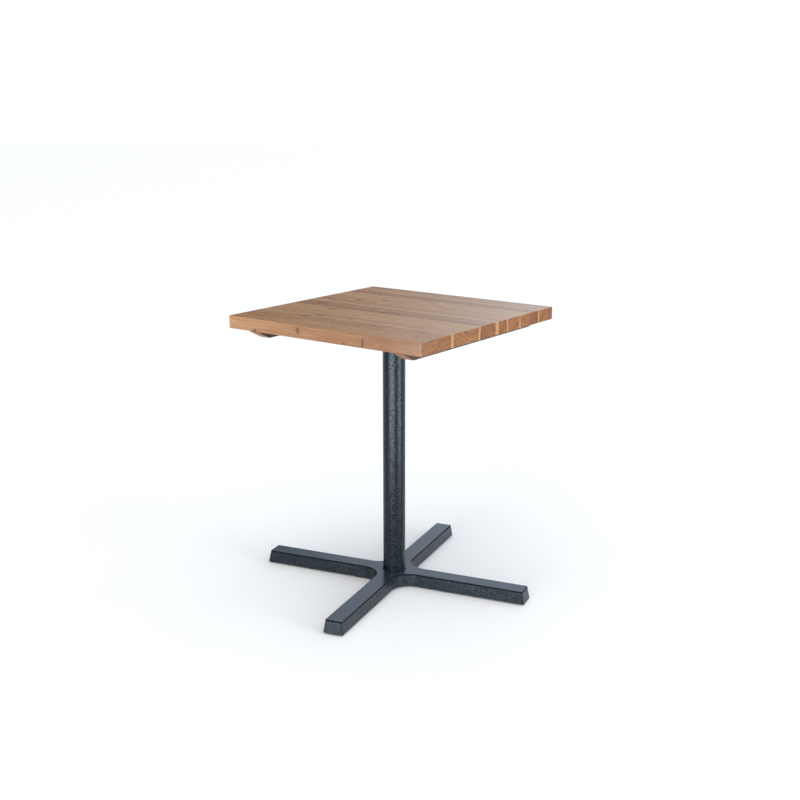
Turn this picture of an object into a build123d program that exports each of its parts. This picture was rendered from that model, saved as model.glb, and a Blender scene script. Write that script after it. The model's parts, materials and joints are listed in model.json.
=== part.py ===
from build123d import *
import os

# Bistro table: a stave-glued oak top with two screwed battens, on a steel column that a tie rod
# clamps between a mounting plate and a hollow four-armed iron base on levelling feet.
# Origin on the floor under the column, +Z up, the staves run along X. All sizes in mm.

os.makedirs("parts", exist_ok=True)

# ---------------------------------------------------------------- whole table
table_height = 750  # floor to the upper face of the top
base_turn = 13  # the base stands turned by this many degrees to the top's sides

# ---------------------------------------------------------------- wooden top
top_length = 600  # along the staves
top_depth = 600  # across the staves
top_thickness = 33
stave_mix = [64, 57, 40, 79, 36, 55, 45, 55, 53, 48, 44, 24]  # random widths, front to back
edge_round = 1.0

# ---------------------------------------------------------------- battens under the top
batten_width = 32
batten_thickness = 20
batten_slope = 37  # length of the sloped end
batten_tip = 1.5  # thickness left where the slope meets the edge of the top
batten_left_inset = 87  # from the top's left end to the batten's centre line
batten_right_inset = 63
batten_screw_staves = [1, 3, 7, 9]  # the staves that a screw holds, counted from the front
screw_recess = 8  # depth of the counterbore that sinks the head

# ---------------------------------------------------------------- wood screws
screw_diameter = 4.5
screw_point = 5  # length of the pointed end
batten_screw_length = 30
batten_screw_head = 9
batten_screw_head_height = 3
plate_screw_length = 25
plate_screw_head = 9
screw_fit = 0.05  # radial, screw to wood
screw_play = 0.4  # radial, screw to batten or plate

# ---------------------------------------------------------------- mounting plate
plate_size = 250
plate_thickness = 6
plate_corner = 20
plate_hole_pitch = 105  # three rows of holes, with none in the middle
spigot_height = 14  # welded disc that centres the column
tube_fit = 0.1  # radial, column to spigot and to seat

# ---------------------------------------------------------------- column and tie rod
column_diameter = 60
column_wall = 2
rod_diameter = 12
rod_fit = 0.05
rod_end_gap = 1  # rod end below the plate's upper face
rod_tail = 2  # rod showing below the nut
nut_flats = 19
nut_height = 10
washer_diameter = 36
washer_thickness = 3

# ---------------------------------------------------------------- cast base
arm_clearance = 4  # floor to the underside of the arms
arm_height = 33
arm_foot_reach = 380  # centre to the arm's end, at its foot and at its top
arm_top_reach = 374
arm_foot_width = 53
arm_top_width = 46
arm_count = 4
hub_corner_centre = 78  # the rounded corner between two arms, from both their centre lines
arm_end_corner = 3
arm_edge_round = 1.5
casting_wall = 6
casting_skin = 7
pocket_draft = 2  # more wall at the roof of the pocket than at its mouth
pocket_corner = 6
rib_thickness = 5
hub_core_diameter = 76
hub_core_bottom = 20  # above the floor, where the washer bears
seat_rim_width = 3
seat_rim_height = 2.5
seat_depth = 3  # column foot below the upper face of the arms
rod_hole_play = 0.5

# ---------------------------------------------------------------- levelling feet
foot_reach = 350
foot_boss_diameter = 22
foot_skin = 5.5  # metal left above the tapped hole
pad_diameter = 30
pad_thickness = 6
pad_socket_floor = 2.5
pad_round = 1.2
stem_diameter = 8
stem_foot_diameter = 12
stem_collar_flats = 13
stem_collar_height = 4
stem_fit = 0.05  # radial, stem to tapped hole and to pad
foot_gap = 0.3  # axial, between parts that turn on each other
foot_retract = 1.25  # one turn of the M8 thread, how far a foot still screws in
foot_end_gap = 0.5

# ---------------------------------------------------------------- levels and places
top_underside = table_height - top_thickness
plate_underside = top_underside - plate_thickness
arm_top = arm_clearance + arm_height
pocket_roof = arm_top - casting_skin
seat_level = arm_top - seat_depth
column_bore = column_diameter - 2 * column_wall
rod_top = top_underside - rod_end_gap
nut_top = hub_core_bottom - washer_thickness
rod_bottom = nut_top - nut_height - rod_tail
boss_bottom = pad_thickness + 2 * foot_gap + stem_collar_height + foot_retract
boss_hole_depth = arm_top - foot_skin - boss_bottom
stem_top = boss_bottom + boss_hole_depth - foot_retract - foot_end_gap

stave_scale = top_depth / sum(stave_mix)
stave_widths = [share * stave_scale for share in stave_mix]
stave_fronts = [sum(stave_widths[:index]) - top_depth / 2 for index in range(len(stave_widths))]
stave_centres = [front + width / 2 for front, width in zip(stave_fronts, stave_widths)]

batten_places = {
    "batten_left": -top_length / 2 + batten_left_inset,
    "batten_right": top_length / 2 - batten_right_inset,
}
batten_screw_rows = [stave_centres[index] for index in batten_screw_staves]
batten_screw_points = [(x, y) for x in batten_places.values() for y in batten_screw_rows]
plate_rows = [-plate_hole_pitch, 0, plate_hole_pitch]
plate_screw_points = [(x, y) for x in plate_rows for y in plate_rows if (x, y) != (0, 0)]

batten_screw_grip = batten_screw_length - (batten_thickness - screw_recess)
plate_screw_grip = plate_screw_length - plate_thickness
wood_holes = [(x, y, batten_screw_grip) for x, y in batten_screw_points]
wood_holes += [(x, y, plate_screw_grip) for x, y in plate_screw_points]

arm_angles = [base_turn + 360 / arm_count * index for index in range(arm_count)]
foot_places = [
    Vector(foot_reach, 0, 0).rotate(Axis.Z, angle) for angle in arm_angles
]
foot_names = ["right", "back", "left", "front"]


def from_below(x, y, level):
    """A plane on an underside, so that a hole drilled into it runs upwards."""
    return Plane(origin=(x, y, level), x_dir=(1, 0, 0), z_dir=(0, 0, -1))


def finish(builder, label):
    """Name a finished piece and write its file."""
    builder.part.label = label
    export_step(builder.part, f"parts/{label}.step")


# ---------------------------------------------------------------- top: staves glued edge to edge
last_stave = len(stave_widths) - 1
for index, (front, width) in enumerate(zip(stave_fronts, stave_widths)):
    with BuildPart() as stave:
        with BuildSketch(Plane.XY.offset(top_underside)):
            with Locations((0, front + width / 2)):
                Rectangle(top_length, width)
        extrude(amount=top_thickness)
        outer = stave.edges().filter_by(Axis.Y)
        if index == 0:
            front_face = stave.faces().sort_by(Axis.Y)[0]
            outer = outer + front_face.edges()
        if index == last_stave:
            back_face = stave.faces().sort_by(Axis.Y)[-1]
            outer = outer + back_face.edges()
        fillet(outer, edge_round)
        reach = width / 2 + screw_diameter
        for x, y, grip in wood_holes:
            if abs(y - front - width / 2) < reach:
                with Locations(from_below(x, y, top_underside)):
                    Hole(screw_diameter / 2 + screw_fit, depth=grip + screw_fit)
    finish(stave, f"stave_{index + 1:02d}")

# ---------------------------------------------------------------- battens with sloped ends
for label, place in batten_places.items():
    with BuildPart() as batten:
        with BuildSketch(Plane.YZ.offset(place - batten_width / 2)):
            with BuildLine():
                half = top_depth / 2
                underside = top_underside - batten_thickness
                Polyline(
                    (-half, top_underside),
                    (half, top_underside),
                    (half, top_underside - batten_tip),
                    (half - batten_slope, underside),
                    (batten_slope - half, underside),
                    (-half, top_underside - batten_tip),
                    close=True,
                )
            make_face()
        extrude(amount=batten_width)
        lower_faces = batten.faces().filter_by(Axis.X, reverse=True).sort_by(Axis.Z)[:3]
        side_edges = [edge for face in lower_faces for edge in face.edges()
                      if not edge.is_closed and abs(edge.tangent_at(0.5).X) < 0.5]
        fillet(side_edges, edge_round)
        with Locations(*[from_below(place, y, underside) for y in batten_screw_rows]):
            CounterBoreHole(
                screw_diameter / 2 + screw_play,
                batten_screw_head / 2 + screw_play,
                screw_recess,
                depth=batten_thickness,
            )
    finish(batten, label)

# ---------------------------------------------------------------- mounting plate
with BuildPart() as top_plate:
    with BuildSketch(Plane.XY.offset(plate_underside)):
        RectangleRounded(plate_size, plate_size, plate_corner)
    extrude(amount=plate_thickness)
    with Locations(*[from_below(x, y, plate_underside) for x, y in plate_screw_points]):
        CounterSinkHole(
            screw_diameter / 2 + screw_play,
            plate_screw_head / 2 + screw_play,
            depth=plate_thickness,
        )
    with Locations(from_below(0, 0, plate_underside)):
        Hole(rod_diameter / 2 + rod_fit, depth=plate_thickness)
finish(top_plate, "top_plate")

with BuildPart() as plate_spigot:
    with BuildSketch(Plane.XY.offset(plate_underside - spigot_height)):
        Circle(column_bore / 2 - tube_fit)
        Circle(rod_diameter / 2 + rod_fit, mode=Mode.SUBTRACT)
    extrude(amount=spigot_height)
    lead_in = plate_spigot.faces().sort_by(Axis.Z)[0].edges().sort_by(SortBy.RADIUS)[-1]
    chamfer(lead_in, 2)
finish(plate_spigot, "plate_spigot")

# ---------------------------------------------------------------- wood screws
with BuildPart() as batten_screw:
    with BuildSketch(Plane.XZ):
        with BuildLine():
            Polyline(
                (0, batten_screw_length),
                (screw_diameter / 2, batten_screw_length - screw_point),
                (screw_diameter / 2, 0),
                (batten_screw_head / 2, 0),
                (batten_screw_head / 2, -batten_screw_head_height / 2),
                (batten_screw_head / 3, -batten_screw_head_height),
                (0, -batten_screw_head_height),
                close=True,
            )
        make_face()
    revolve(axis=Axis.Z)

with BuildPart() as batten_screws:
    with Locations(*[(x, y, top_underside - batten_thickness + screw_recess)
                     for x, y in batten_screw_points]):
        add(batten_screw.part)
finish(batten_screws, "batten_screws")

with BuildPart() as plate_screw:
    with BuildSketch(Plane.XZ):
        head_height = (plate_screw_head - screw_diameter) / 2
        with BuildLine():
            Polyline(
                (0, plate_screw_length),
                (screw_diameter / 2, plate_screw_length - screw_point),
                (screw_diameter / 2, head_height),
                (plate_screw_head / 2, 0),
                (0, 0),
                close=True,
            )
        make_face()
    revolve(axis=Axis.Z)

with BuildPart() as plate_screws:
    with Locations(*[(x, y, plate_underside) for x, y in plate_screw_points]):
        add(plate_screw.part)
finish(plate_screws, "plate_screws")

# ---------------------------------------------------------------- column
with BuildPart() as column:
    with BuildSketch(Plane.XY.offset(seat_level)):
        Circle(column_diameter / 2)
        Circle(column_bore / 2, mode=Mode.SUBTRACT)
    extrude(amount=plate_underside - seat_level)
finish(column, "column")

# ---------------------------------------------------------------- tie rod, its washer and nut
with BuildPart() as tie_rod:
    with BuildSketch(Plane.XY.offset(rod_bottom)):
        Circle(rod_diameter / 2)
    extrude(amount=rod_top - rod_bottom)
    chamfer(tie_rod.edges().filter_by(GeomType.CIRCLE), 1)
finish(tie_rod, "tie_rod")

with BuildPart() as tie_rod_washer:
    with BuildSketch(Plane.XY.offset(nut_top)):
        Circle(washer_diameter / 2)
        Circle(rod_diameter / 2 + rod_hole_play, mode=Mode.SUBTRACT)
    extrude(amount=washer_thickness)
finish(tie_rod_washer, "tie_rod_washer")

with BuildPart() as tie_rod_nut:
    with BuildSketch(Plane.XY.offset(nut_top - nut_height)):
        RegularPolygon(nut_flats / 2, 6, major_radius=False)
        Circle(rod_diameter / 2 + rod_fit, mode=Mode.SUBTRACT)
    extrude(amount=nut_height)
finish(tie_rod_nut, "tie_rod_nut")

# ---------------------------------------------------------------- cast base
outer_levels = [
    (arm_clearance, arm_foot_reach, arm_foot_width),
    (arm_top, arm_top_reach, arm_top_width),
]
pocket_levels = [
    (arm_clearance, arm_foot_reach - casting_wall, arm_foot_width - 2 * casting_wall),
    (
        pocket_roof,
        arm_top_reach - casting_wall - pocket_draft,
        arm_top_width - 2 * (casting_wall + pocket_draft),
    ),
]
with BuildPart() as base_casting:
    for level, reach, width in outer_levels:
        with BuildSketch(Plane.XY.offset(level).rotated((0, 0, base_turn))) as plan:
            Rectangle(2 * reach, width)
            Rectangle(width, 2 * reach)
            corners = plan.vertices().sort_by_distance(Vertex(0, 0, 0))
            fillet(corners[:4], hub_corner_centre - width / 2)
            fillet(plan.vertices().sort_by_distance(Vertex(0, 0, 0))[-8:], arm_end_corner)
    loft(ruled=True)
    fillet(base_casting.faces().sort_by(Axis.Z)[-1].edges(), arm_edge_round)
    for level, reach, width in pocket_levels:
        with BuildSketch(Plane.XY.offset(level).rotated((0, 0, base_turn))) as plan:
            Rectangle(2 * reach, width)
            Rectangle(width, 2 * reach)
            corners = plan.vertices().sort_by_distance(Vertex(0, 0, 0))
            fillet(corners[:4], hub_corner_centre - width / 2)
            fillet(plan.vertices().sort_by_distance(Vertex(0, 0, 0))[-8:], pocket_corner)
    loft(ruled=True, mode=Mode.SUBTRACT)
    # hub core, ribs and the bosses of the feet, down from the roof of the pocket
    with BuildSketch(Plane.XY.offset(hub_core_bottom)):
        Circle(hub_core_diameter / 2)
        with Locations(Location((0, 0, 0), (0, 0, base_turn))):
            Rectangle(2 * foot_reach, rib_thickness)
            Rectangle(rib_thickness, 2 * foot_reach)
    extrude(amount=pocket_roof - hub_core_bottom + 1)
    with BuildSketch(Plane.XY.offset(boss_bottom)):
        with Locations(*foot_places):
            Circle(foot_boss_diameter / 2)
    extrude(amount=pocket_roof - boss_bottom + 1)
    # rim and seat of the column
    with BuildSketch(Plane.XY.offset(arm_top)):
        Circle(column_diameter / 2 + tube_fit + seat_rim_width)
    extrude(amount=seat_rim_height)
    rim_edge = base_casting.faces().sort_by(Axis.Z)[-1].edges()
    fillet(rim_edge, 0.8)
    with Locations((0, 0, arm_top + seat_rim_height)):
        Hole(column_diameter / 2 + tube_fit, depth=seat_rim_height + seat_depth)
        Hole(rod_diameter / 2 + rod_hole_play)
    with Locations(*[from_below(place.X, place.Y, boss_bottom) for place in foot_places]):
        Hole(stem_diameter / 2 + stem_fit, depth=boss_hole_depth)
finish(base_casting, "base_casting")

# ---------------------------------------------------------------- levelling feet
for name, place in zip(foot_names, foot_places):
    with BuildPart() as pad:
        with BuildSketch(Plane.XY):
            with Locations(place):
                Circle(pad_diameter / 2)
        extrude(amount=pad_thickness)
        fillet(pad.edges().filter_by(GeomType.CIRCLE), pad_round)
        with Locations(place + Vector(0, 0, pad_thickness)):
            Hole(stem_foot_diameter / 2 + stem_fit, depth=pad_thickness - pad_socket_floor)
    finish(pad, f"leveller_pad_{name}")

    with BuildPart() as stem:
        with BuildSketch(Plane.XY.offset(pad_socket_floor + foot_gap)):
            with Locations(place):
                Circle(stem_foot_diameter / 2)
        extrude(amount=pad_thickness - pad_socket_floor)
        with BuildSketch(Plane.XY.offset(pad_thickness + foot_gap)):
            with Locations(place):
                RegularPolygon(stem_collar_flats / 2, 6, major_radius=False)
        extrude(amount=stem_collar_height)
        with BuildSketch(Plane.XY.offset(pad_thickness + foot_gap)):
            with Locations(place):
                Circle(stem_diameter / 2)
        extrude(amount=stem_top - pad_thickness - foot_gap)
        chamfer(stem.faces().sort_by(Axis.Z)[-1].edges(), 1)
    finish(stem, f"leveller_stem_{name}")
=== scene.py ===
# Bistro table: the finishes, fasteners and light for a glued oak top on a powder coated column
# and cast cross base. Sizes in the dictionaries are millimetres unless a note says otherwise, and mm
# turns them into the scene's metres.
import json
import math
import random
import bmesh
import bpy
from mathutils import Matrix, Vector

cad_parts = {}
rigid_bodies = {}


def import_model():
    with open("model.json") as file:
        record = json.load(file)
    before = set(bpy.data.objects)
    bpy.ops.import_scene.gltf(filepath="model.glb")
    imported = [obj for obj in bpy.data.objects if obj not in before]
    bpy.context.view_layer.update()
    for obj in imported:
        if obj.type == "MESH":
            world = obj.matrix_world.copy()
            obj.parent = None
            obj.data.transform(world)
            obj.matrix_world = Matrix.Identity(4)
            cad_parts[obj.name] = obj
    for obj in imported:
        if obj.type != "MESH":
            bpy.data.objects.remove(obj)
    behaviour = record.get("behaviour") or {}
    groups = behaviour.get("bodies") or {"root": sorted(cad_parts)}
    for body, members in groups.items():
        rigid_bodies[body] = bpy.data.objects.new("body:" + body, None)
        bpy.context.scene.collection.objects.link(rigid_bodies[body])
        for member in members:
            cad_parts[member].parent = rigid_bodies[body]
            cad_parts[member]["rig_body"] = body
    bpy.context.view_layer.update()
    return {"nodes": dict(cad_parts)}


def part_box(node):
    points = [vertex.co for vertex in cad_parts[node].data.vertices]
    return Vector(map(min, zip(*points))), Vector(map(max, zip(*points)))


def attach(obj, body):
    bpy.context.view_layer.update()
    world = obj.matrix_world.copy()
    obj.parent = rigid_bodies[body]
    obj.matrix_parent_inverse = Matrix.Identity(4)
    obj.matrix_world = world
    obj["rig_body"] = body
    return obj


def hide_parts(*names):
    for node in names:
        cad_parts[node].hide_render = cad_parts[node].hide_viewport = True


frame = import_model()
nodes = frame["nodes"]
mm = 0.001
smooth = {"interpolation_type": "SMOOTHSTEP"}
print("frame loaded:", len(nodes), "nodes")


def linear(hexColour):
    # an sRGB hex colour as the linear values that a shader wants
    channels = []
    for start in (0, 2, 4):
        share = int(hexColour[start:start + 2], 16) / 255
        channels.append(share / 12.92 if share <= 0.04045 else ((share + 0.055) / 1.055) ** 2.4)
    return (*channels, 1.0)


def addNode(tree, kind, settings=None, inputs=None):
    # settings are the node's own choices; an input is a socket to join or a value to set
    node = tree.nodes.new("ShaderNode" + kind)
    for name, value in (settings or {}).items():
        if name != "stops":
            setattr(node, name, value)
            continue
        points = node.color_ramp.elements
        while len(points) < len(value):
            points.new(1.0)
        for point, (position, colour) in zip(points, value):
            point.position = position
            point.color = linear(colour) if isinstance(colour, str) else (colour, colour, colour, 1.0)
    for name, value in (inputs or {}).items():
        socket = node.inputs[name]
        if isinstance(value, bpy.types.NodeSocket):
            tree.links.new(value, socket)
        else:
            socket.default_value = value
    return node


def newMaterial(name):
    material = bpy.data.materials.new(name)
    material.use_nodes = True
    tree = material.node_tree
    return material, tree, tree.nodes["Principled BSDF"]


def paint(piece, material):
    piece.data.materials.clear()
    piece.data.materials.append(material)


def newPiece(name, bm, material, body, replaced=(), sharpAngle=35):
    # a finished mesh: welded, facing outwards, smooth up to sharpAngle, riding on its body
    bmesh.ops.remove_doubles(bm, verts=bm.verts, dist=0.002 * mm)
    bmesh.ops.recalc_face_normals(bm, faces=bm.faces)
    limit = math.radians(sharpAngle)
    for face in bm.faces:
        face.smooth = True
    for edge in bm.edges:
        edge.smooth = edge.is_manifold and edge.calc_face_angle(0) < limit
    mesh = bpy.data.meshes.new(name)
    bm.to_mesh(mesh)
    bm.free()
    piece = bpy.data.objects.new(name, mesh)
    bpy.context.scene.collection.objects.link(piece)
    paint(piece, material)
    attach(piece, body)
    if replaced:
        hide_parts(*replaced)
    return piece


oak = {
    "ringWidth": 3.2,  # growth rings of a slow grown oak
    "ringWobble": 7,
    "wave": 190,  # how far apart the grain's bends lie along a stave
    "knotPush": 15,  # how far the rings bend round a knot
    "poreWidth": 0.9,  # real pores are 0.3 across, drawn coarser so that they show
    "poreLength": 26,
    "streakWidth": 3.6,
    "streakLength": 320,
    "cloudLength": 160,
    "cloudWidth": 160 / 9,
    "bumpHeight": 0.16,
}
oakColours = {
    "pale": "bb9067",
    "honey": "9e714c",
    "brown": "7c5137",
    "pore": "5a3d2c",
    "knot": "34211a",
    "halo": "7a4f38",
    "sap": "c29f77",
    "sapEnd": "c09968",
    "endGrain": "7d5638",
    "filler": "85837f",
}
# one row for each stave, front to back: tone 0 dark to 1 light, pith across and down from the middle,
# sapwood along the front and back edge, and knots as x, y, z of the table with radius and strength
staves = [
    {"tone": 0.56, "drift": -0.9, "pith": (22, -62), "sap": (0, 0), "wave": 56,
     "filler": (128, -300, 744, 4),
     "knots": [(-69, -300, 737, 5, 0.6, 0.9, 0.6), (-212, -300, 721, 2.5, 0.9), (75, -300, 721, 1.6, 1.0),
               (131, -300, 730, 3, 0.6, 0.9, 0.2)]},
    {"tone": 0.50, "pith": (12, -62), "sap": (0, 0),
     "knots": [(-139, -187, 750, 5, 0.9), (236, -199, 750, 7, 0.35)]},
    {"tone": 0.56, "pith": (-30, -48), "sap": (9, 0),
     "knots": [(-114, -163, 750, 4, 1.0), (-17, -162, 750, 2.2, 1.0)]},
    {"tone": 0.66, "pith": (18, 55), "sap": (0, 0), "knots": [(-149, -68, 750, 9, 0.3)]},
    {"tone": 0.30, "pith": (-52, -30), "sap": (8, 0),
     "knots": [(-5, -38, 750, 5, 0.6), (26, -32, 750, 3, 0.8), (-42, -30, 750, 3, 0.5)]},
    {"tone": 0.42, "pith": (34, 44), "sap": (0, 16), "knots": [(-238, -10, 750, 8, 0.55)]},
    {"tone": 0.50, "pith": (-46, 26), "sap": (0, 7),
     "knots": [(-278, 67, 750, 6, 0.8), (-120, 70, 750, 5, 0.4)]},
    {"tone": 0.60, "pith": (26, -58), "sap": (0, 0),
     "knots": [(-179, 80, 750, 6, 0.9), (-121, 123, 750, 5, 0.65), (-263, 118, 750, 4, 0.4)]},
    {"tone": 0.62, "pith": (-16, -66), "sap": (6, 0), "knots": []},
    {"tone": 0.32, "pith": (58, 22), "sap": (0, 9), "knots": [(-190, 190, 750, 5, 0.35)]},
    {"tone": 0.58, "pith": (-38, 40), "sap": (0, 0), "knots": []},
    {"tone": 0.44, "pith": (66, 10), "sap": (0, 0), "knots": []},
]


def oakMaterial(name, wood, low, high, seed):
    # edge glued European oak, planed and oiled: warm brown, straight dark pores, a soft satin sheen
    material, tree, shader = newMaterial(name)
    chance = random.Random(seed)
    centre = (low + high) / 2
    across, down = wood["pith"]
    pith = (chance.uniform(-0.2, 0.2), centre.y + across * mm, centre.z + down * mm)
    lean = (0, math.radians(chance.uniform(-1.6, 1.6)), math.radians(chance.uniform(-1.8, 1.8)))
    if wood.get("grain") == "Y":
        lean = (lean[0], lean[1], lean[2] + math.radians(90))
    spot = addNode(tree, "TexCoord").outputs["Object"]
    facing = addNode(tree, "SeparateXYZ", {}, {0: addNode(tree, "TexCoord").outputs["Normal"]}).outputs
    log = addNode(tree, "Mapping", {"vector_type": "TEXTURE"},
                  {"Vector": spot, "Location": pith, "Rotation": lean}).outputs[0]

    def combine(first, second, operation="ADD"):
        return addNode(tree, "Math", {"operation": operation}, {0: first, 1: second}).outputs[0]

    def stretched(along, width, detail=2.0, rough=0.5, vector=log):
        # noise drawn out along the grain
        scaled = addNode(tree, "VectorMath", {"operation": "MULTIPLY"},
                         {0: vector, 1: (1 / (along * mm), 1 / (width * mm), 1 / (width * mm))}).outputs[0]
        return addNode(tree, "TexNoise", {"noise_dimensions": "3D"},
                       {"Vector": scaled, "Scale": 1.0, "Detail": detail, "Roughness": rough}).outputs["Fac"]

    # knots push the rings aside and darken the wood
    knotMask, core = None, None
    ragged = addNode(tree, "TexNoise", {}, {"Vector": spot, "Scale": 190.0, "Detail": 3.0}).outputs["Fac"]
    for x, y, z, radius, strength, *shape in wood["knots"]:
        alongScale, downScale = shape or (0.42, 1)
        offset = addNode(tree, "VectorMath", {"operation": "SUBTRACT"},
                         {0: spot, 1: (x * mm, y * mm, z * mm)}).outputs[0]
        drawn = addNode(tree, "VectorMath", {"operation": "MULTIPLY"},
                        {0: offset, 1: (alongScale, 1, downScale)}).outputs[0]
        away = addNode(tree, "VectorMath", {"operation": "LENGTH"}, {0: drawn}).outputs["Value"]
        away = addNode(tree, "Math", {"operation": "MULTIPLY_ADD"},
                       {0: ragged, 1: radius * 1.6 * mm, 2: away}).outputs[0]
        near = addNode(tree, "MapRange", smooth,
                       {"Value": away, "From Min": radius * 4.0 * mm, "From Max": radius * 0.8 * mm,
                        "To Min": 0.0, "To Max": strength}).outputs[0]
        middle = addNode(tree, "MapRange", smooth,
                         {"Value": away, "From Min": radius * 1.9 * mm, "From Max": radius * 1.3 * mm,
                          "To Min": 0.0, "To Max": strength}).outputs[0]
        knotMask = near if knotMask is None else combine(knotMask, near, "MAXIMUM")
        core = middle if core is None else combine(core, middle, "MAXIMUM")

    flat = addNode(tree, "VectorMath", {"operation": "MULTIPLY"}, {0: log, 1: (0, 1, 1)}).outputs[0]
    radius = addNode(tree, "VectorMath", {"operation": "LENGTH"}, {0: flat}).outputs["Value"]
    wave = wood.get("wave", oak["wave"])
    wobble = stretched(wave, 34, 3.0, 0.55)
    radius = addNode(tree, "Math", {"operation": "MULTIPLY_ADD"},
                     {0: wobble, 1: oak["ringWobble"] * 2 * mm, 2: radius}).outputs[0]
    if knotMask is not None:
        radius = addNode(tree, "Math", {"operation": "MULTIPLY_ADD"},
                         {0: knotMask, 1: oak["knotPush"] * mm, 2: radius}).outputs[0]
    phase = combine(radius, 1 / (oak["ringWidth"] * mm), "MULTIPLY")
    years = addNode(tree, "TexNoise", {"noise_dimensions": "1D"},
                    {"W": combine(phase, 0.31, "MULTIPLY"), "Scale": 1.0, "Detail": 1.0}).outputs["Fac"]
    phase = addNode(tree, "Math", {"operation": "MULTIPLY_ADD"}, {0: years, 1: 3.0, 2: phase}).outputs[0]
    ringStops = [(0.0, 0.0), (0.16, 0.3), (0.42, 1.0), (0.9, 0.82), (1.0, 0.0)]
    ring = addNode(tree, "ValToRGB", {"stops": ringStops},
                   {"Fac": combine(phase, 0.0, "FRACT")}).outputs["Color"]

    streak = stretched(oak["streakLength"] * wave / oak["wave"], oak["streakWidth"], 3.0, 0.6)
    cloud = stretched(oak["cloudLength"], oak["cloudWidth"], 2.0, 0.5)
    pore = stretched(oak["poreLength"], oak["poreWidth"], 1.0, 0.4)
    porous = addNode(tree, "MapRange", smooth,
                     {"Value": pore, "From Min": 0.60, "From Max": 0.72}).outputs[0]

    # body colour: the stave's tone, moved by streaks, clouds and the rings
    lift = addNode(tree, "Math", {"operation": "MULTIPLY_ADD"},
                   {0: streak, 1: 0.75, 2: 1.2 * wood["tone"] - 0.84}).outputs[0]
    lift = addNode(tree, "Math", {"operation": "MULTIPLY_ADD"},
                   {0: cloud, 1: 0.4, 2: lift}).outputs[0]
    if "drift" in wood:
        # the outer side of the front stave goes from pale to brown along the table
        along = combine(addNode(tree, "SeparateXYZ", {}, {0: spot}).outputs["X"], 0.15)
        along = combine(along, facing["Y"], "MULTIPLY")
        lift = addNode(tree, "Math", {"operation": "MULTIPLY_ADD"},
                       {0: along, 1: -wood["drift"], 2: lift}).outputs[0]
    lift = addNode(tree, "Math", {"operation": "MULTIPLY_ADD"},
                   {0: ring, 1: 0.32, 2: lift}).outputs[0]
    body = addNode(tree, "ValToRGB", {"stops": [(0.0, oakColours["brown"]), (0.5, oakColours["honey"]),
                                                (1.0, oakColours["pale"])]}, {"Fac": lift}).outputs["Color"]
    frontSap, backSap = wood["sap"]
    inSap = 0.0
    if frontSap or backSap:
        part = addNode(tree, "SeparateXYZ", {}, {0: spot}).outputs["Y"]
        edge = low.y if frontSap else high.y
        reach = (frontSap or -backSap) * mm
        waver = addNode(tree, "Math", {"operation": "MULTIPLY_ADD"},
                        {0: wobble, 1: 9 * mm, 2: part}).outputs[0]
        inSap = addNode(tree, "MapRange", smooth,
                        {"Value": waver, "From Min": edge + reach + 5.5 * mm,
                         "From Max": edge + reach + (3.5 if frontSap else 7.5) * mm,
                         "To Min": 0.0, "To Max": 0.62}).outputs[0]
        body = addNode(tree, "MixRGB", {}, {"Fac": inSap, "Color1": body,
                                            "Color2": linear(oakColours["sap"])}).outputs[0]
    poreShare = addNode(tree, "MapRange", {}, {"Value": ring, "To Min": 0.75, "To Max": 0.28}).outputs[0]
    body = addNode(tree, "MixRGB", {}, {"Fac": combine(porous, poreShare, "MULTIPLY"), "Color1": body,
                                        "Color2": linear(oakColours["pore"])}).outputs[0]
    if knotMask is not None:
        body = addNode(tree, "MixRGB", {}, {"Fac": combine(knotMask, 0.55, "MULTIPLY"), "Color1": body,
                                            "Color2": linear(oakColours["halo"])}).outputs[0]
        body = addNode(tree, "MixRGB", {}, {"Fac": core, "Color1": body,
                                            "Color2": linear(oakColours["knot"])}).outputs[0]
    if "dark" in wood:
        # painted shade: the battens' sides facing the table's ends are coloured near black-brown, standing in
        # for the shade under the top
        paintedShadeSide = addNode(tree, "MapRange", {},
                            {"Value": combine(facing["X"], 0.0, "ABSOLUTE"), "From Min": 0.6,
                             "From Max": 0.8, "To Max": wood["dark"]}).outputs[0]
        body = addNode(tree, "MixRGB", {}, {"Fac": paintedShadeSide, "Color1": body,
                                            "Color2": linear(oakColours["knot"])}).outputs[0]
    if "filler" in wood:
        # a hole stopped with grey putty
        *place, radius = (size * mm for size in wood["filler"])
        away = addNode(tree, "VectorMath", {"operation": "DISTANCE"}, {0: spot, 1: place}).outputs["Value"]
        putty = addNode(tree, "MapRange", smooth,
                        {"Value": away, "From Min": radius, "From Max": radius * 0.6,
                         "To Min": 0.0, "To Max": 0.9}).outputs[0]
        body = addNode(tree, "MixRGB", {}, {"Fac": putty, "Color1": body,
                                            "Color2": linear(oakColours["filler"])}).outputs[0]
    # end grain soaks up more oil: darker, redder and duller than the long grain
    isEnd = addNode(tree, "MapRange", {}, {"Value": combine(facing[wood.get("grain", "X")], 0.0, "ABSOLUTE"),
                                           "From Min": 0.6, "From Max": 0.8}).outputs[0]
    ray = addNode(tree, "TexNoise", {}, {"Vector": log, "Scale": 900.0, "Detail": 2.0}).outputs["Fac"]
    endTone = addNode(tree, "MixRGB", {"blend_type": "MULTIPLY"},
                      {"Fac": 1.0, "Color1": body,
                       "Color2": addNode(tree, "ValToRGB", {"stops": [(0.25, "94745a"), (0.8, "f4e0c4")]},
                                         {"Fac": ray}).outputs["Color"]}).outputs[0]
    rings = addNode(tree, "MixRGB", {}, {"Fac": addNode(tree, "MapRange", {}, {
        "Value": ring, "To Min": 0.4, "To Max": 0.0}).outputs[0],
        "Color1": endTone, "Color2": linear(oakColours["endGrain"])}).outputs[0]
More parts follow.
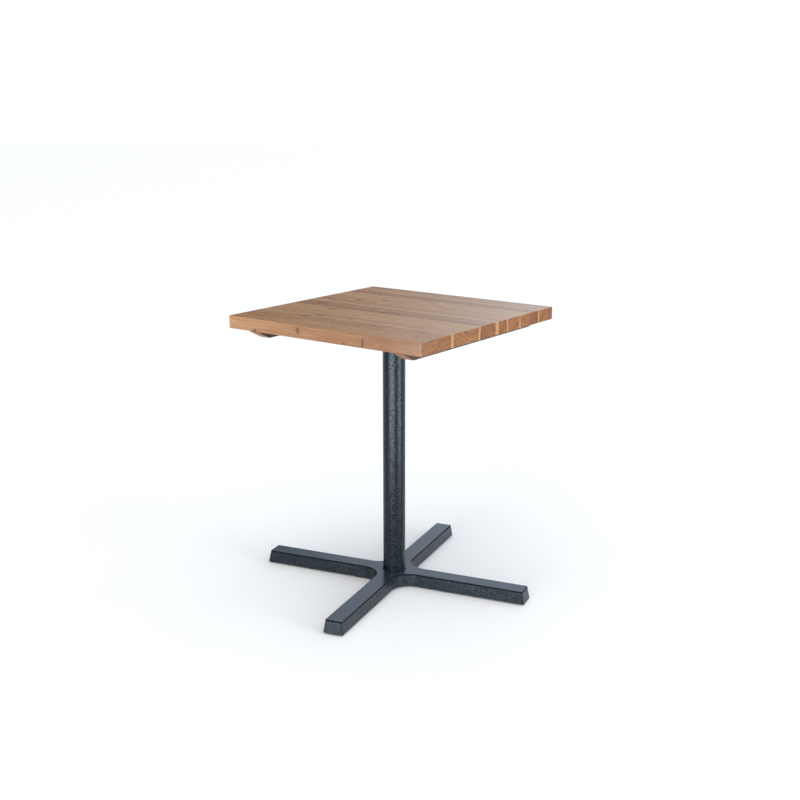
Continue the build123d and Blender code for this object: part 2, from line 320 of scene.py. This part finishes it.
    # groups of good and poor years show as broad arcs
    band = addNode(tree, "MapRange", {}, {"Value": years, "From Min": 0.36, "From Max": 0.64,
                                          "To Min": 0.74, "To Max": 1.16}).outputs[0]
    rings = addNode(tree, "MixRGB", {"blend_type": "MULTIPLY"},
                    {"Fac": 1.0, "Color1": rings, "Color2": band}).outputs[0]
    rings = addNode(tree, "MixRGB", {},
                    {"Fac": combine(inSap, 0.75, "MULTIPLY"), "Color1": rings,
                     "Color2": linear(oakColours["sapEnd"])}).outputs[0]
    body = addNode(tree, "MixRGB", {}, {"Fac": isEnd, "Color1": body, "Color2": rings}).outputs[0]
    tree.links.new(body, shader.inputs["Base Color"])

    # oil sits duller in the pores and on end grain, and the underside is left raw
    isUnder = addNode(tree, "MapRange", {},
                      {"Value": facing["Z"], "From Min": -0.35, "From Max": -0.6}).outputs[0]
    raw = combine(isEnd, isUnder, "MAXIMUM")
    # the sides with painted shade are also made duller
    if "dark" in wood:
        raw = combine(raw, paintedShadeSide, "MAXIMUM")
    dull = addNode(tree, "MapRange", {}, {"Value": porous, "To Min": 0.2, "To Max": 0.4}).outputs[0]
    dull = addNode(tree, "Math", {"operation": "MULTIPLY_ADD"}, {0: raw, 1: 0.35, 2: dull}).outputs[0]
    dull = addNode(tree, "Math", {"operation": "MULTIPLY_ADD"}, {0: streak, 1: 0.10, 2: dull}).outputs[0]
    tree.links.new(dull, shader.inputs["Roughness"])
    shine = addNode(tree, "MapRange", {}, {"Value": raw, "To Min": 0.5, "To Max": 0.25}).outputs[0]
    tree.links.new(shine, shader.inputs["Specular IOR Level"])
    shader.inputs["IOR"].default_value = 1.52
    height = addNode(tree, "Math", {"operation": "MULTIPLY_ADD"}, {0: ring, 1: 0.25, 2: streak}).outputs[0]
    height = combine(height, porous, "SUBTRACT")
    bump = addNode(tree, "Bump", {}, {"Height": height, "Strength": 0.35,
                                      "Distance": oak["bumpHeight"] * mm}).outputs[0]
    tree.links.new(bump, shader.inputs["Normal"])
    return material


for index, wood in enumerate(staves):
    name = f"stave_{index + 1:02d}"
    finish = f"oiledOakStave{index + 1:02d}"
    paint(nodes[name], oakMaterial(finish, wood, *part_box(name), seed=index))
print("oak top done")

# dark sets how strongly each batten's sides take the painted shade
battens = {
    "batten_left": {"tone": 0.46, "grain": "Y", "pith": (30, -70), "sap": (0, 0), "knots": [],
                    "dark": 0.96},
    "batten_right": {"tone": 0.42, "grain": "Y", "pith": (-24, -64), "sap": (0, 0), "knots": [],
                     "dark": 0.96},
}
for index, (name, wood) in enumerate(battens.items()):
    finish = "oiledOak" + name.title().replace("_", "")
    paint(nodes[name], oakMaterial(finish, wood, *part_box(name), seed=40 + index))


def coatedMaterial(name, colour, coat):
    # powder coat baked on steel or iron: dark blue grey, a fine sandy texture that breaks up the highlights
    material, tree, shader = newMaterial(name)
    spot = addNode(tree, "TexCoord").outputs["Object"]
    sand = addNode(tree, "TexNoise", {}, {"Vector": spot, "Scale": 1 / (coat["grain"] * mm), "Detail": 3.0,
                                          "Roughness": 0.62}).outputs["Fac"]
    patch = addNode(tree, "TexNoise", {}, {"Vector": spot, "Scale": 14.0, "Detail": 2.0}).outputs["Fac"]
    speck = addNode(tree, "ValToRGB", {"stops": [(0.42, colour["dark"]), (0.6, colour["light"])]},
                    {"Fac": sand}).outputs["Color"]
    facing = addNode(tree, "SeparateXYZ", {}, {0: addNode(tree, "TexCoord").outputs["Normal"]}).outputs["Z"]
    # upward faces take the colour top; on the casting it is lighter and bluer than the sides, painted light
    # from above and painted sky reflection
    upward = addNode(tree, "MapRange", smooth,
                     {"Value": facing, "From Min": 0.8, "From Max": 0.97}).outputs[0]
    body = addNode(tree, "MixRGB", {}, {"Fac": upward, "Color1": speck,
                                        "Color2": linear(colour["top"])}).outputs[0]
    if coat["edgeLine"]:
        # painted shade: a near black line along the rounded upper edges, a painted dark reflection
        height = addNode(tree, "SeparateXYZ", {}, {0: spot}).outputs["Z"]
        brim = addNode(tree, "MapRange", {}, {"Value": height, "From Min": coat["edgeLine"] - 0.2 * mm,
                                              "From Max": coat["edgeLine"] + 0.3 * mm}).outputs[0]
        turned = addNode(tree, "MapRange", {},
                         {"Value": facing, "From Min": 0.97, "From Max": 0.9}).outputs[0]
        paintedEdgeShade = addNode(tree, "Math", {"operation": "MULTIPLY"}, {0: brim, 1: turned}).outputs[0]
        # and the same painted dark line down the upright corners of the arm ends, on the side that faces
        # along the arm
        flat = addNode(tree, "VectorMath", {"operation": "MULTIPLY"}, {0: spot, 1: (1, 1, 0)}).outputs[0]
        outward = addNode(tree, "VectorMath", {"operation": "NORMALIZE"}, {0: flat}).outputs[0]
        ahead = addNode(tree, "VectorMath", {"operation": "DOT_PRODUCT"},
                        {0: addNode(tree, "TexCoord").outputs["Normal"], 1: outward}).outputs["Value"]
        rounded = addNode(tree, "ValToRGB", {"stops": [(0.12, 0.0), (0.24, 1.0), (0.62, 1.0), (0.78, 0.0)]},
                          {"Fac": ahead}).outputs["Color"]
        reach = addNode(tree, "VectorMath", {"operation": "LENGTH"}, {0: flat}).outputs["Value"]
        atEnd = addNode(tree, "Math", {"operation": "GREATER_THAN"},
                        {0: reach, 1: coat["armReach"]}).outputs[0]
        corner = addNode(tree, "Math", {"operation": "MULTIPLY"}, {0: rounded, 1: atEnd}).outputs[0]
        paintedEdgeShade = addNode(tree, "Math", {"operation": "MAXIMUM"}, {0: paintedEdgeShade, 1: corner}).outputs[0]
        body = addNode(tree, "MixRGB", {}, {"Fac": paintedEdgeShade, "Color1": body,
                                            "Color2": linear(colour["edge"])}).outputs[0]
    tree.links.new(body, shader.inputs["Base Color"])
    rough = addNode(tree, "MapRange", {}, {"Value": upward, "To Min": coat["sideRough"],
                                           "To Max": coat["topRough"]}).outputs[0]
    rough = addNode(tree, "Math", {"operation": "MULTIPLY_ADD"}, {0: patch, 1: 0.05, 2: rough}).outputs[0]
    # the painted dark line is also made fully rough, so that it shows no highlight
    if coat["edgeLine"]:
        rough = addNode(tree, "Math", {"operation": "MAXIMUM"}, {0: rough, 1: paintedEdgeShade}).outputs[0]
    tree.links.new(rough, shader.inputs["Roughness"])
    shader.inputs["IOR"].default_value = 1.5
    shader.inputs["Specular Tint"].default_value = linear(coat["tint"])
    # single grains catch the light or miss it
    glint = addNode(tree, "MapRange", {}, {"Value": sand, "From Min": 0.38, "From Max": 0.62,
                                           "To Min": coat["specular"] * 0.3,
                                           "To Max": coat["specular"] * 1.9}).outputs[0]
    shine = addNode(tree, "MapRange", {}, {"Value": upward, "To Min": glint,
                                           "To Max": coat["topSpecular"]}).outputs[0]
    tree.links.new(shine, shader.inputs["Specular IOR Level"])
    fine = addNode(tree, "TexNoise", {}, {"Vector": spot, "Scale": 4 / (coat["grain"] * mm),
                                          "Detail": 2.0}).outputs["Fac"]
    sand = addNode(tree, "Math", {"operation": "MULTIPLY_ADD"}, {0: fine, 1: 0.35, 2: sand}).outputs[0]
    soft = addNode(tree, "MapRange", {}, {"Value": upward, "To Min": coat["bump"],
                                          "To Max": coat["topBump"]}).outputs[0]
    bump = addNode(tree, "Bump", {}, {"Height": sand, "Strength": soft,
                                      "Distance": coat["grain"] * 0.2 * mm}).outputs[0]
    tree.links.new(bump, shader.inputs["Normal"])
    return material


seatDepth = 3  # how deep the column stands in the casting
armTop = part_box("column")[0].z + seatDepth * mm
# the grain of a real coat is a fraction of a millimetre and is drawn coarser, so that it shows
# the casting's top colour is lighter and bluer than its sides: painted light from above and painted sky
# reflection
castingCoat = coatedMaterial(
    "satinPowderCoatOnCastIron",
    # edge is the colour of the painted dark line along the upper edges and arm-end corners
    {"dark": "080b0e", "light": "2a333a", "top": "27303b", "edge": "010101"},
    {"grain": 2.8, "sideRough": 0.24, "topRough": 0.2, "specular": 0.26, "topSpecular": 0.45,
     "bump": 0.5, "topBump": 0.04, "tint": "e0eefa",
     "armReach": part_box("leveller_pad_right")[1].length, "edgeLine": armTop - 3.8 * mm})
tubeCoat = coatedMaterial(
    "sandTexturedPowderCoat",
    {"dark": "020304", "light": "1b2225", "top": "121518", "edge": "0b0d0f"},
    {"grain": 2.5, "sideRough": 0.24, "topRough": 0.3, "specular": 0.27, "topSpecular": 0.25,
     "bump": 0.4, "topBump": 0.3, "tint": "d0e4f8", "edgeLine": 0})
plateCoat = coatedMaterial(
    "blackPowderCoat",
    {"dark": "17191c", "light": "24272b", "top": "1c1f22", "edge": "0b0d0f"},
    {"grain": 1.6, "sideRough": 0.5, "topRough": 0.45, "specular": 0.4, "topSpecular": 0.4,
     "bump": 0.35, "topBump": 0.3, "tint": "ffffff", "edgeLine": 0})


def zincMaterial():
    # bright zinc plate over turned steel: pale, slightly blue, with fine scuffs
    material, tree, shader = newMaterial("brightZincPlate")
    spot = addNode(tree, "TexCoord").outputs["Object"]
    scuff = addNode(tree, "TexNoise", {}, {"Vector": spot, "Scale": 420.0, "Detail": 4.0}).outputs["Fac"]
    tone = addNode(tree, "ValToRGB", {"stops": [(0.3, "9a9da1"), (0.7, "c6c9cc")]},
                   {"Fac": scuff}).outputs["Color"]
    tree.links.new(tone, shader.inputs["Base Color"])
    rough = addNode(tree, "MapRange", {}, {"Value": scuff, "To Min": 0.22, "To Max": 0.5}).outputs[0]
    tree.links.new(rough, shader.inputs["Roughness"])
    shader.inputs["Metallic"].default_value = 1.0
    return material


def nylonMaterial():
    # moulded black nylon: even, slightly waxy, greyed where it has rubbed on floors
    material, tree, shader = newMaterial("mouldedBlackNylon")
    spot = addNode(tree, "TexCoord").outputs["Object"]
    fine = addNode(tree, "TexNoise", {}, {"Vector": spot, "Scale": 700.0, "Detail": 3.0}).outputs["Fac"]
    tone = addNode(tree, "ValToRGB", {"stops": [(0.35, "141516"), (0.75, "26282a")]},
                   {"Fac": fine}).outputs["Color"]
    tree.links.new(tone, shader.inputs["Base Color"])
    shader.inputs["Roughness"].default_value = 0.48
    shader.inputs["IOR"].default_value = 1.53
    bump = addNode(tree, "Bump", {}, {"Height": fine, "Strength": 0.3, "Distance": 0.1 * mm}).outputs[0]
    tree.links.new(bump, shader.inputs["Normal"])
    return material


zinc = zincMaterial()
nylon = nylonMaterial()
print("coats, zinc and nylon done")


def softened(node, material, bevelWidth=0.0, flatten=1.0):
    # a copy of a CAD piece with its facets joined and its rounds smooth; bevelWidth eases the edges
    bm = bmesh.new()
    bm.from_mesh(nodes[node].data)
    bmesh.ops.remove_doubles(bm, verts=bm.verts, dist=0.001 * mm)
    bmesh.ops.dissolve_limit(bm, angle_limit=math.radians(flatten), verts=bm.verts, edges=bm.edges)
    piece = newPiece(node + "_finished", bm, material, nodes[node]["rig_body"], (node,))
    if bevelWidth:
        bevel = piece.modifiers.new("easedEdges", "BEVEL")
        bevel.width = bevelWidth * mm
        bevel.segments = 2
        bevel.limit_method = "ANGLE"
        bevel.angle_limit = math.radians(40)
    weighted = piece.modifiers.new("flatFaces", "WEIGHTED_NORMAL")
    weighted.keep_sharp = True
    weighted.weight = 80
    return piece


softened("base_casting", castingCoat)
softened("top_plate", plateCoat, bevelWidth=0.6)


def turnOn(bm, outline, place, segments):
    # spin a closed outline of (radius, height) about the vertical through place, and give back its vertices
    before = set(bm.verts)
    corners = [bm.verts.new((place.x + radius, place.y, height)) for radius, height in outline]
    edges = [bm.edges.new(pair) for pair in zip(corners, corners[1:] + corners[:1])]
    bmesh.ops.spin(bm, geom=corners + edges, cent=(place.x, place.y, 0), axis=(0, 0, 1), angle=math.tau,
                   steps=segments, use_merge=True)
    return [vert for vert in bm.verts if vert not in before]


def reshape(verts, place, radiusAt):
    # move vertices in or out from the vertical through place; radiusAt is given angle, radius and height
    for vert in verts:
        x, y = vert.co.x - place.x, vert.co.y - place.y
        radius = math.hypot(x, y)
        if radius > 0.01 * mm:
            share = radiusAt(math.atan2(y, x), radius, vert.co.z) / radius
            vert.co.x, vert.co.y = place.x + x * share, place.y + y * share


def hexLimit(flats):
    # radius of a hexagon that is flats across, at any angle
    sixth = math.radians(60)

    def limit(angle, radius, height):
        return min(radius, flats / 2 / math.cos((angle + sixth / 2) % sixth - sixth / 2))

    return limit


def addThread(bm, place, size, low, high, point=0.0, chamfer=0.0):
    # a helical thread between two heights; size is radius, depth and pitch, and point tapers its upper end
    radius, depth, pitch = size
    turns = math.ceil((high - low) / pitch) + 2
    part = bmesh.new()
    shape = [(radius - depth, 0), (radius, 0.42), (radius, 0.55), (radius - depth, 0.97), (radius - depth, 1)]
    corners = [part.verts.new((place.x + away, place.y, low + (share - 1) * pitch)) for away, share in shape]
    edges = [part.edges.new(pair) for pair in zip(corners, corners[1:])]
    bmesh.ops.spin(part, geom=corners + edges, cent=(place.x, place.y, 0), axis=(0, 0, 1),
                   angle=math.tau * turns, steps=threadSteps * turns, dvec=(0, 0, pitch / threadSteps))
    bmesh.ops.remove_doubles(part, verts=part.verts, dist=0.002 * mm)
    for height, outward in ((low, -1), (high, 1)):
        everything = part.verts[:] + part.edges[:] + part.faces[:]
        cut = bmesh.ops.bisect_plane(part, geom=everything, dist=0.0001 * mm, plane_co=(0, 0, height),
                                     plane_no=(0, 0, outward), clear_outer=True)
        rim = [piece for piece in cut["geom_cut"] if isinstance(piece, bmesh.types.BMEdge)]
        bmesh.ops.edgeloop_fill(part, edges=rim)
    if point:
        reshape(part.verts, place, lambda angle, away, height: min(
            away, max(high - height, 0) * radius / point + 0.2 * mm))
    if chamfer:
        reshape(part.verts, place, lambda angle, away, height: min(
            away, radius - chamfer + high - height, radius - chamfer + max(height - low, 0)))
    joined = bpy.data.meshes.new("thread")
    part.to_mesh(joined)
    part.free()
    bm.from_mesh(joined)
    bpy.data.meshes.remove(joined)


def arc(middle, height, radius, start, stop, steps=4):
    # outline points round a quarter or less, angles in degrees
    turns = [math.radians(start + (stop - start) * step / steps) for step in range(steps + 1)]
    return [(middle + radius * math.cos(turn), height + radius * math.sin(turn)) for turn in turns]


threadSteps = 20  # facets in one turn of a thread
column = {"segments": 128, "endRound": 0.6, "wall": 2}
spigot = {"segments": 96, "boreFit": 0.05, "edge": 0.8}


def buildColumn():
    low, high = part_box("column")
    outer = (high.x - low.x) / 2
    inner = outer - column["wall"] * mm
    ease = column["endRound"] * mm
    bm = bmesh.new()
    turnOn(bm, [(inner, low.z), (outer - ease, low.z), (outer, low.z + ease), (outer, high.z - ease),
                (outer - ease, high.z), (inner, high.z)], Vector(), column["segments"])
    return newPiece("column_finished", bm, tubeCoat, "table", ("column",))


def buildSpigot():
    # the turned disc that is welded under the plate
    low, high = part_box("plate_spigot")
    rodLow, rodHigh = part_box("tie_rod")
    outer, bore = (high.x - low.x) / 2, (rodHigh.x - rodLow.x) / 2 + spigot["boreFit"] * mm
    ease = spigot["edge"] * mm
    bm = bmesh.new()
    turnOn(bm, [(bore, low.z + ease / 2), (bore + ease / 2, low.z), (outer - ease, low.z),
                (outer, low.z + ease), (outer, high.z), (bore, high.z)], Vector(), spigot["segments"])
    return newPiece("plate_spigot_finished", bm, plateCoat, "table", ("plate_spigot",))


buildColumn()
buildSpigot()
print("column and plate done")


tieRod = {
    "pitch": 1.75,
    "depth": 1.07,
    "lowerThread": 44,  # threaded length at each end
    "upperThread": 30,
    "shank": 5.43,  # radius of the rolled blank
    "shankSegments": 32,
    "endChamfer": 1.2,
    "nutBore": 5.2,  # radius, and so is the washer's
    "nutBoreEase": 0.9,
    "nutSlope": 0.75,
    "washerBore": 6.5,
    "washerRoll": 0.8,
    "washerBurr": 0.2,
}
hardwareSegments = 96  # round a nut, a washer, a stem or a pad
woodScrew = {
    "pitch": 2.2,
    "depth": 0.62,
    "radius": 2.25,
    "point": 5,
    "lobes": 6,
    "recess": 1.75,  # mean radius of the driver's socket
    "recessLobe": 0.28,
    "recessDepth": 1.7,
    "segments": 36,
    "gather": 12,  # vertices closer together than about two of these belong to one screw
}
foot = {
    "threadPitch": 1.25,
    "threadDepth": 0.77,
    "threadRadius": 4,
    "stemFoot": 6,  # radius of the disc that stands in the pad
    "collarGap": 0.3,  # pad to collar
    "collarTop": 4.3,  # pad to the collar's upper face
    "stemEase": 0.6,
    "collarSlope": 0.5,
    "padRound": 1.2,
    "dish": 0.5,  # hollow under the pad, which stands on its rim
    "ribs": 24,  # moulded grip ribs round the pad
    "ribDepth": 0.5,
    "groove": 0.5,
    "socket": 6.05,  # radius, with room for the stem's disc
    "socketFloor": 2.5,
    # shares of the pad's radius: edge of the dish, its rim, and the groove on top from outside in
    "dishEdge": 0.74,
    "dishRim": 0.78,
    "grooveShares": (0.76, 0.74, 0.68, 0.66),
}


def buildTieRod():
    # a rod with rolled M12 threads at both ends, screwed into the spigot above and the nut below
    low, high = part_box("tie_rod")
    radius = (high.x - low.x) / 2
    size = (radius, tieRod["depth"] * mm, tieRod["pitch"] * mm)
    lower, upper = low.z + tieRod["lowerThread"] * mm, high.z - tieRod["upperThread"] * mm
    bm = bmesh.new()
    addThread(bm, Vector(), size, low.z, lower, chamfer=tieRod["endChamfer"] * mm)
    addThread(bm, Vector(), size, upper, high.z, chamfer=tieRod["endChamfer"] * mm)
    shank = tieRod["shank"] * mm
    turnOn(bm, [(0, lower - mm), (shank, lower - mm), (shank, upper + mm), (0, upper + mm)],
           Vector(), tieRod["shankSegments"])
    return newPiece("tie_rod_finished", bm, zinc, "table", ("tie_rod",))


def buildNut():
    low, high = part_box("tie_rod_nut")
    corner = max(high.x - low.x, high.y - low.y) / 2
    flats = min(high.x - low.x, high.y - low.y)
    bore, ease, slope = [tieRod[key] * mm for key in ("nutBore", "nutBoreEase", "nutSlope")]
    bm = bmesh.new()
    verts = turnOn(bm, [(bore, low.z + ease), (bore + ease, low.z), (flats / 2 - slope / 4, low.z),
                        (corner, low.z + slope), (corner, high.z - slope), (flats / 2 - slope / 4, high.z),
                        (bore + ease, high.z), (bore, high.z - ease)], Vector(), hardwareSegments)
    reshape(verts, Vector(), hexLimit(flats))
    return newPiece("tie_rod_nut_finished", bm, zinc, "table", ("tie_rod_nut",),
                    sharpAngle=25)


def buildWasher():
    # stamped: rolled over on one side and sharp on the other
    low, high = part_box("tie_rod_washer")
    outer = (high.x - low.x) / 2
    bore, roll, burr = [tieRod[key] * mm for key in ("washerBore", "washerRoll", "washerBurr")]
    bm = bmesh.new()
    turnOn(bm, [(bore, low.z + burr), (bore + burr, low.z), *arc(outer - roll, low.z + roll, roll, -90, 0),
                (outer, high.z - burr), (outer - burr, high.z), (bore, high.z)],
           Vector(), hardwareSegments)
    return newPiece("tie_rod_washer_finished", bm, zinc, "table",
                    ("tie_rod_washer",))


def screwPoints(name):
    # the middle of each screw of a node, found from its separate lumps
    mesh = nodes[name].data
    spots = {}
    for vert in mesh.vertices:
        cell = tuple(round(part / (woodScrew["gather"] * mm)) for part in vert.co.xy)
        near = next((key for key in spots if math.dist(key, cell) < 1.8), cell)
        spots.setdefault(near, []).append(vert.co)
    return [Vector(((min(co.x for co in lump) + max(co.x for co in lump)) / 2,
                    (min(co.y for co in lump) + max(co.y for co in lump)) / 2, 0)) for lump in spots.values()]


def buildScrews(name, headOutline):
    # six-lobe wood screws driven from below, all in one mesh as in the CAD
    low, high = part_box(name)
    size = [woodScrew[key] * mm for key in ("radius", "depth", "pitch")]
    socket, sunk = woodScrew["recess"] * mm, woodScrew["recessDepth"] * mm
    shoulder = low.z + headOutline[-1][1] * mm
    bm = bmesh.new()
    for place in screwPoints(name):
        outline = [(0, low.z + sunk), (socket, low.z + sunk), (socket, low.z)]
        outline += [(radius * mm, low.z + height * mm) for radius, height in headOutline]
        verts = turnOn(bm, outline + [(0, shoulder)], place, woodScrew["segments"])
        reshape(verts, place, lambda angle, radius, height: radius + woodScrew["recessLobe"] * mm * math.cos(
            woodScrew["lobes"] * angle) if abs(radius - socket) < 0.01 * mm else radius)
        addThread(bm, place, size, shoulder - 0.1 * mm, high.z, point=woodScrew["point"] * mm)
    return newPiece(name + "_finished", bm, zinc, "table", (name,))


def buildStem(side):
    # a turned foot in the pad, a collar for the spanner and an M8 thread up into the arm
    name = "leveller_stem_" + side
    low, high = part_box(name)
    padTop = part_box("leveller_pad_" + side)[1].z
    place = Vector(((low.x + high.x) / 2, (low.y + high.y) / 2, 0))
    flats, corner = min(high.x - low.x, high.y - low.y), max(high.x - low.x, high.y - low.y) / 2
    footTop, collarTop = padTop + foot["collarGap"] * mm, padTop + foot["collarTop"] * mm
    footRadius, ease, slope = [foot[key] * mm for key in ("stemFoot", "stemEase", "collarSlope")]
    bm = bmesh.new()
    verts = turnOn(bm, [(0, low.z), (footRadius - ease, low.z), (footRadius, low.z + ease),
                        (footRadius, footTop), (flats / 2 - slope / 4, footTop),
                        (corner, footTop + slope), (corner, collarTop - slope),
                        (flats / 2 - slope / 4, collarTop), (0, collarTop)],
                   place, hardwareSegments)
    reshape(verts, place, hexLimit(flats))
    size = [foot[key] * mm for key in ("threadRadius", "threadDepth", "threadPitch")]
    addThread(bm, place, size, collarTop - 0.1 * mm, high.z, chamfer=mm)
    return newPiece(name + "_finished", bm, zinc, "stem_" + side, (name,),
                    sharpAngle=25)


def buildPad(side):
    # a moulded pad: rounded edges, grip ribs round the rim, a groove on top and a dished sole
    name = "leveller_pad_" + side
    low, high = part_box(name)
    place = Vector(((low.x + high.x) / 2, (low.y + high.y) / 2, 0))
    outer = (high.x - low.x) / 2
    ease, dish, dip = [foot[key] * mm for key in ("padRound", "dish", "groove")]
    socket, floor = foot["socket"] * mm, low.z + foot["socketFloor"] * mm
    groove = [outer * share for share in foot["grooveShares"]]
    bm = bmesh.new()
    verts = turnOn(bm, [
        (0, low.z + dish), (outer * foot["dishEdge"], low.z + dish), (outer * foot["dishRim"], low.z),
        *arc(outer - ease, low.z + ease, ease, -90, 0),
        *arc(outer - ease, high.z - ease, ease, 0, 90),
        (groove[0], high.z), (groove[1], high.z - dip), (groove[2], high.z - dip), (groove[3], high.z),
        (socket + dip, high.z), (socket, high.z - dip), (socket, floor), (0, floor),
    ], place, hardwareSegments)
    reshape(verts, place, lambda angle, radius, height: radius - foot["ribDepth"] * mm * (
        0.5 + 0.5 * math.cos(foot["ribs"] * angle)) if radius > outer - 0.3 * mm else radius)
    return newPiece(name + "_finished", bm, nylon, "pad_" + side, (name,))


buildTieRod()
buildNut()
buildWasher()
# head outlines are radius and height above the face, from the face to the shoulder
buildScrews("batten_screws", [(2.9, 0), *arc(2.9, 1.6, 1.6, -90, 0), (4.5, 3), (2, 3)])
buildScrews("plate_screws", [(4.3, 0), (4.5, 0.2), (2.25, 2.25)])
for side in ("right", "back", "left", "front"):
    buildStem(side)
    buildPad(side)
print("screws, tie rod and feet done")


studio = {
    "floor": "f3f0ee",
    "floorReach": 40,  # metres
    "lens": 52.95,
    "brightSide": (0.724, 0.343, 0.598),  # the room is bright on this side and dim on the other
    "brightRoom": "e2f0fc",
    "dimRoom": "2c2e31",
    "roomStrength": 1.3,
    "backdrop": "fcfcfc",
    "panelHeight": 0.7,  # metres, and so is the panels' distance from the column
    "panelAway": 1.1,
    "cameraPlace": (1.8029, -2.4216, 1.2784),  # metres
    "cameraTurn": 36.37,  # degrees
    "cameraDip": 14.26,
}


def buildFloor():
    material, tree, shader = newMaterial("palePaintedFloor")
    shader.inputs["Base Color"].default_value = linear(studio["floor"])
    shader.inputs["Roughness"].default_value = 0.9
    bm = bmesh.new()
    bmesh.ops.create_circle(bm, cap_ends=True, segments=64, radius=studio["floorReach"])
    mesh = bpy.data.meshes.new("studioFloor")
    bm.to_mesh(mesh)
    bm.free()
    floor = bpy.data.objects.new("studioFloor", mesh)
    bpy.context.scene.collection.objects.link(floor)
    paint(floor, material)


def compass(turn, rise=0):
    # the direction at a compass side, 0 in front of the table and 90 on its right, and a height, in degrees
    side, height = math.radians(turn), math.radians(rise)
    return Vector((math.sin(side) * math.cos(height), -math.cos(side) * math.cos(height), math.sin(height)))


def addSun(name, turn, rise, strength, spread, colour="ffffff"):
    # a broad, distant light without a reflection of its own
    data = bpy.data.lights.new(name, "SUN")
    data.energy = strength
    data.angle = math.radians(spread)
    data.color = linear(colour)[:3]
    lamp = bpy.data.objects.new(name, data)
    bpy.context.scene.collection.objects.link(lamp)
    lamp.rotation_euler = compass(turn, rise).to_track_quat("Z", "Y").to_euler()
    lamp.visible_glossy = False


def addPanel(name, turn, width, power):
    # a lit panel standing on the floor below the table's edge, seen only as a band down glossy surfaces
    data = bpy.data.lights.new(name, "AREA")
    data.shape = "RECTANGLE"
    data.size = width
    data.size_y = studio["panelHeight"]
    data.energy = power
    lamp = bpy.data.objects.new(name, data)
    bpy.context.scene.collection.objects.link(lamp)
    lamp.location = compass(turn) * studio["panelAway"] + Vector((0, 0, studio["panelHeight"] / 2))
    lamp.rotation_euler = compass(turn).to_track_quat("Z", "Y").to_euler()
    lamp.visible_diffuse = False
    lamp.visible_camera = False


def buildWorld():
    # a pale room, dim behind the table's left and bright behind its right
    world = bpy.data.worlds.new("studioRoom")
    bpy.context.scene.world = world
    world.use_nodes = True
    tree = world.node_tree
    direction = addNode(tree, "TexCoord").outputs["Generated"]
    level = addNode(tree, "VectorMath", {"operation": "DOT_PRODUCT"},
                    {0: direction, 1: studio["brightSide"]}).outputs["Value"]
    share = addNode(tree, "MapRange", smooth,
                    {"Value": level, "From Min": -0.05, "From Max": 0.06}).outputs[0]
    room = addNode(tree, "MixRGB", {}, {"Fac": share, "Color1": linear(studio["dimRoom"]),
                                        "Color2": linear(studio["brightRoom"])}).outputs[0]
    seen = addNode(tree, "LightPath").outputs["Is Camera Ray"]
    shown = addNode(tree, "MixRGB", {}, {"Fac": seen, "Color1": room,
                                         "Color2": linear(studio["backdrop"])}).outputs[0]
    tree.links.new(shown, tree.nodes["Background"].inputs["Color"])
    tree.nodes["Background"].inputs["Strength"].default_value = studio["roomStrength"]


def buildCamera():
    data = bpy.data.cameras.new("viewpoint")
    data.lens = studio["lens"]
    data.sensor_width = 36
    camera = bpy.data.objects.new("viewpoint", data)
    bpy.context.scene.collection.objects.link(camera)
    camera.location = studio["cameraPlace"]
    camera.rotation_euler = (math.radians(90 - studio["cameraDip"]), 0, math.radians(studio["cameraTurn"]))
    bpy.context.scene.camera = camera


buildFloor()
buildWorld()
addSun("frontSoftbox", 9, 7, 1.8, 24, colour="fffaf2")
addSun("sideSoftbox", 94, 7, 2.0, 22)
addSun("overheadSoftbox", 20, 70, 0.65, 60, colour="fff0dc")
addPanel("frontPanel", 15, 1.1, 22)
addPanel("sidePanel", 93, 0.62, 10.5)
buildCamera()
bpy.context.scene.view_settings.view_transform = "Standard"
print("stage done")
